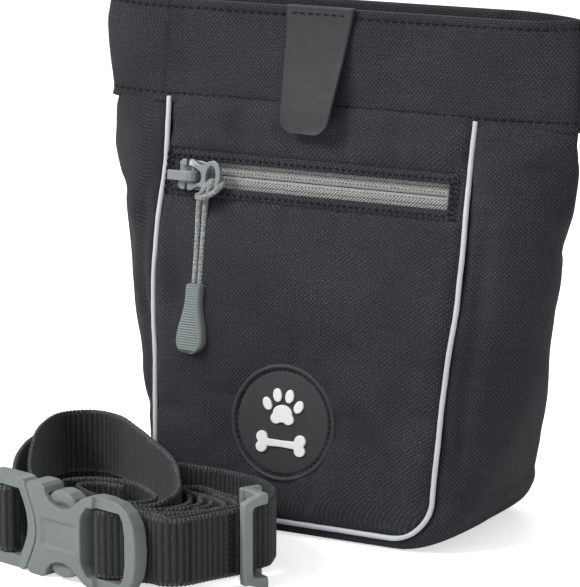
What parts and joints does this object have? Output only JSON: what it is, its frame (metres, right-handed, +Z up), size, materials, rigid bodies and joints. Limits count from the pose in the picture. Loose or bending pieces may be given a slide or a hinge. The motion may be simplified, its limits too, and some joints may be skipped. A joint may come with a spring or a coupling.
{
  "type": "treat pouch",
  "caption": "Standing fabric treat pouch with a magnetic mouth, front zip pocket, pale piping, round badge, leather pull tab and a rolled webbing waist belt with a side release buckle.",
  "frame": {"origin": "centre of the pouch's footprint on the floor", "axes": "+Z up, the pouch's front faces -Y, +X to the right seen from the front"},
  "size_m": [0.1778, 0.1452, 0.16],
  "materials": {
    "shell_cloth": "plain weave polyester",
    "collar_cloth": "heavier plain weave polyester",
    "lining": "coated nylon lining",
    "piping": "silver reflective piping",
    "webbing": "ribbed polyester webbing",
    "buckle_plastic": "satin moulded acetal",
    "stiffener": "thin sheet",
    "leather": "smooth matt leather",
    "badge_rubber": "soft moulded badge",
    "emblem_rubber": "soft moulded emblem",
    "zip_tape": "woven zip tape",
    "zip_coil": "nylon coil",
    "zip_enamel": "satin enamel",
    "cord": "braided cord",
    "grip_rubber": "moulded grip",
    "magnet_steel": "nickel plated"
  },
  "bodies": {
    "pouch": {"front_panel_lower": "shell_cloth", "side_gusset": "shell_cloth", "back_panel": "shell_cloth", "piping_lower": "piping", "collar_back": "collar_cloth", "collar_back_stiffener": "stiffener", "collar_back_facing": "lining", "magnet_back_left": "magnet_steel", "magnet_back_right": "magnet_steel", "treat_liner": "lining", "badge_base": "badge_rubber", "badge_paw": "emblem_rubber", "badge_bone": "emblem_rubber", "belt_loop": "webbing"},
    "front_lip": {"front_panel_upper": "shell_cloth", "piping_left": "piping", "piping_right": "piping", "collar_front": "collar_cloth", "collar_front_stiffener": "stiffener", "collar_front_facing": "lining", "magnet_front_left": "magnet_steel", "magnet_front_right": "magnet_steel", "treat_liner_front": "lining", "pocket_bag": "lining", "zip_tape_upper": "zip_tape", "zip_tape_lower": "zip_tape", "zip_coil_upper": "zip_coil", "zip_coil_lower": "zip_coil", "zip_stop_left": "zip_enamel", "zip_stop_right": "zip_enamel"},
    "pull_tab": {"leather_tab": "leather"},
    "zip_slider": {"zip_slider_body": "zip_enamel"},
    "zip_pull": {"zip_pull_plate": "zip_enamel"},
    "cord_pull": {"pull_cord": "cord", "cord_grip": "grip_rubber"},
    "belt": {"belt_webbing": "webbing", "buckle_female": "buckle_plastic"},
    "glide": {"tri_glide": "buckle_plastic"},
    "male_half": {"buckle_male": "buckle_plastic", "belt_male_end": "webbing"},
    "prong_upper": {"buckle_prong_upper": "buckle_plastic"},
    "prong_lower": {"buckle_prong_lower": "buckle_plastic"}
  },
  "joints": [
    {"name": "mouth_open", "type": "hinge", "parent": "pouch", "child": "front_lip", "pos_m": [0, -0.02629, 0.0532], "axis": [1, 0, 0], "range_deg": [0, 25]},
    {"name": "tab_lift", "type": "hinge", "parent": "front_lip", "child": "pull_tab", "pos_m": [0, -0.0119, 0.1585], "axis": [-1, 0, 0], "range_deg": [0, 100]},
    {"name": "zip_slide", "type": "slide", "parent": "front_lip", "child": "zip_slider", "axis": [1, 0, 0], "range_m": [0, 0.0765]},
    {"name": "pull_flip", "type": "hinge", "parent": "zip_slider", "child": "zip_pull", "pos_m": [-0.0388, -0.02222, 0.1059], "axis": [0, -0.2065, -0.9784], "range_deg": [0, 75]},
    {"name": "cord_lift", "type": "hinge", "parent": "zip_pull", "child": "cord_pull", "pos_m": [-0.0292, -0.02331, 0.1024], "axis": [-1, 0, 0], "range_deg": [0, 80]},
    {"name": "belt_remove", "type": "slide", "parent": "pouch", "child": "belt", "axis": [0, -1, 0], "range_m": [0, 0.12]},
    {"name": "glide_adjust", "type": "slide", "parent": "belt", "child": "glide", "axis": [-0.4478, -0.8942, 0], "range_m": [0, 0.004]},
    {"name": "buckle_release", "type": "slide", "parent": "belt", "child": "male_half", "axis": [-0.9703, 0.2419, 0], "range_m": [0, 0.026], "deforming": ["buckle_prong_upper", "buckle_prong_lower"]},
    {"name": "prong_upper_squeeze", "type": "hinge", "parent": "male_half", "child": "prong_upper", "pos_m": [-0.04847, -0.09946, 0.0224], "axis": [0.2419, 0.9703, 0], "range_deg": [0, 9]},
    {"name": "prong_lower_squeeze", "type": "hinge", "parent": "male_half", "child": "prong_lower", "pos_m": [-0.04847, -0.09946, 0.0056], "axis": [0.2419, 0.9703, 0], "range_deg": [-9, 0]}
  ]
}
